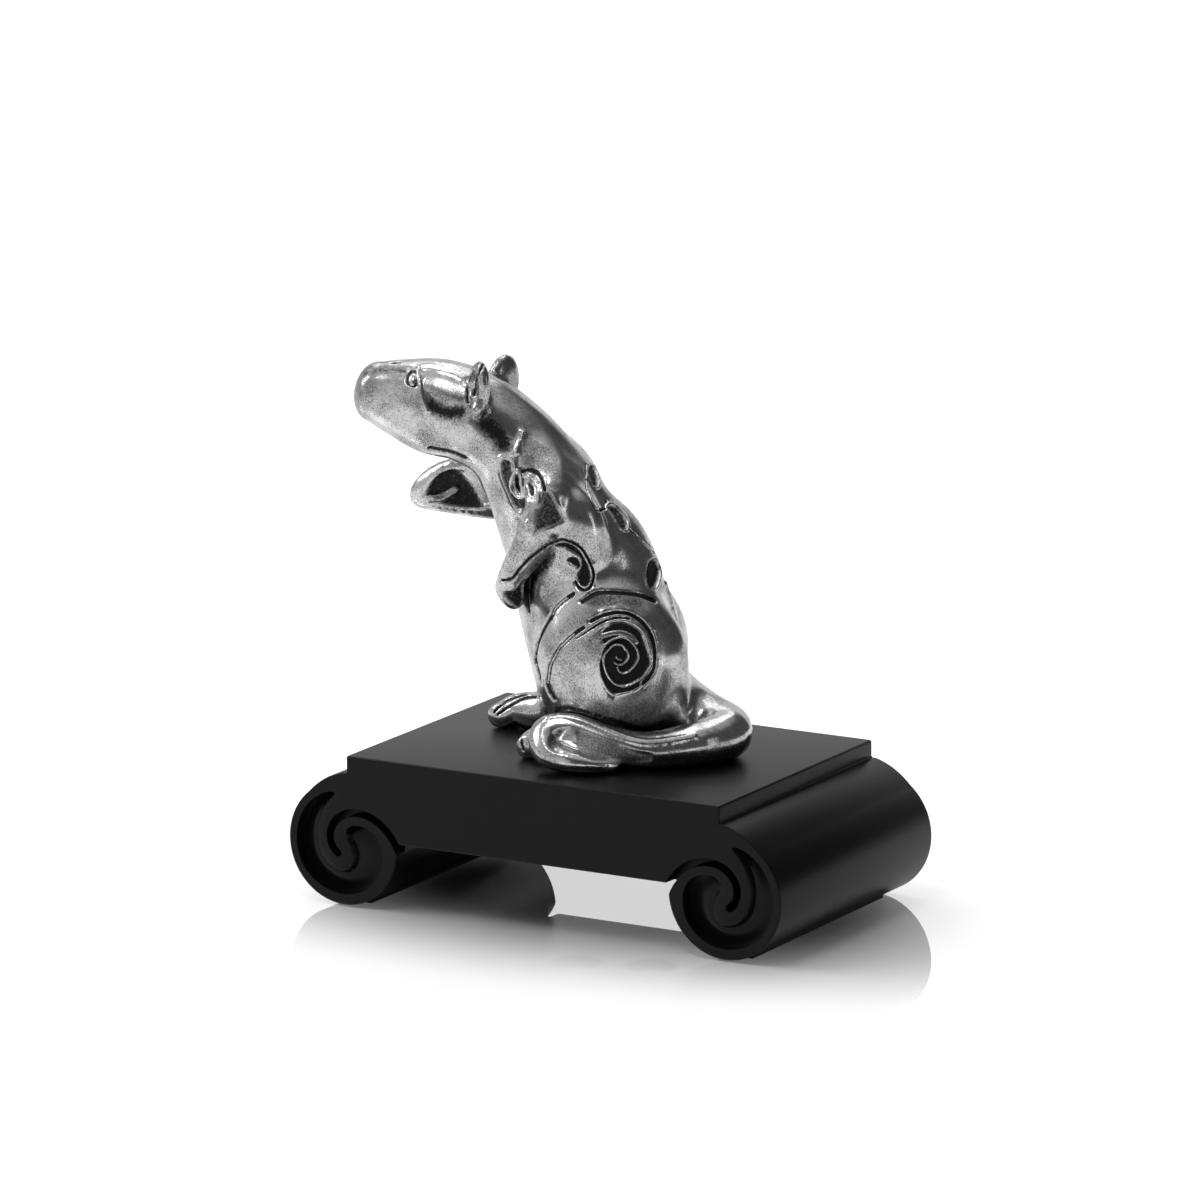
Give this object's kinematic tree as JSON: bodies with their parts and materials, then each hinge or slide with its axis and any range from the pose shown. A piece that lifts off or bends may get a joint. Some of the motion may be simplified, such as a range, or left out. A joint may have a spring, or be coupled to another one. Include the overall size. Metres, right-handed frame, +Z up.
{
  "type": "rat figurine",
  "caption": "Pewter rat sitting up on its haunches with a paw held out, screwed to a black stand whose ends roll under into carved scrolls.",
  "frame": {"origin": "middle of the stand's footprint, on the surface that it rests on", "axes": "+Z up, X along the stand from its left scroll to its right scroll, -Y towards the viewer's side, where the rat's left flank and its tail are"},
  "size_m": [0.1016, 0.0562, 0.0991],
  "materials": {
    "pewter": "polished antique pewter, dark in the recesses, about as dense as cast iron",
    "black_paint": "satin black paint over wood, with a fine grain",
    "dowel_wood": "plain beech",
    "felt": "black felt",
    "zinc_steel": "zinc plated steel"
  },
  "bodies": {
    "root": {"rat_body": "pewter", "left_ear": "pewter", "right_ear": "pewter", "left_arm": "pewter", "right_arm": "pewter", "left_foot": "pewter", "right_foot": "pewter", "tail": "pewter", "base_panel": "black_paint", "left_scroll_end": "black_paint", "right_scroll_end": "black_paint", "dowel_left_front": "dowel_wood", "dowel_left_back": "dowel_wood", "dowel_right_front": "dowel_wood", "dowel_right_back": "dowel_wood", "felt_strip_left": "felt", "felt_strip_right": "felt", "screw_front": "zinc_steel", "screw_rear": "zinc_steel", "washer_front": "zinc_steel", "washer_rear": "zinc_steel"}
  },
  "joints": []
}
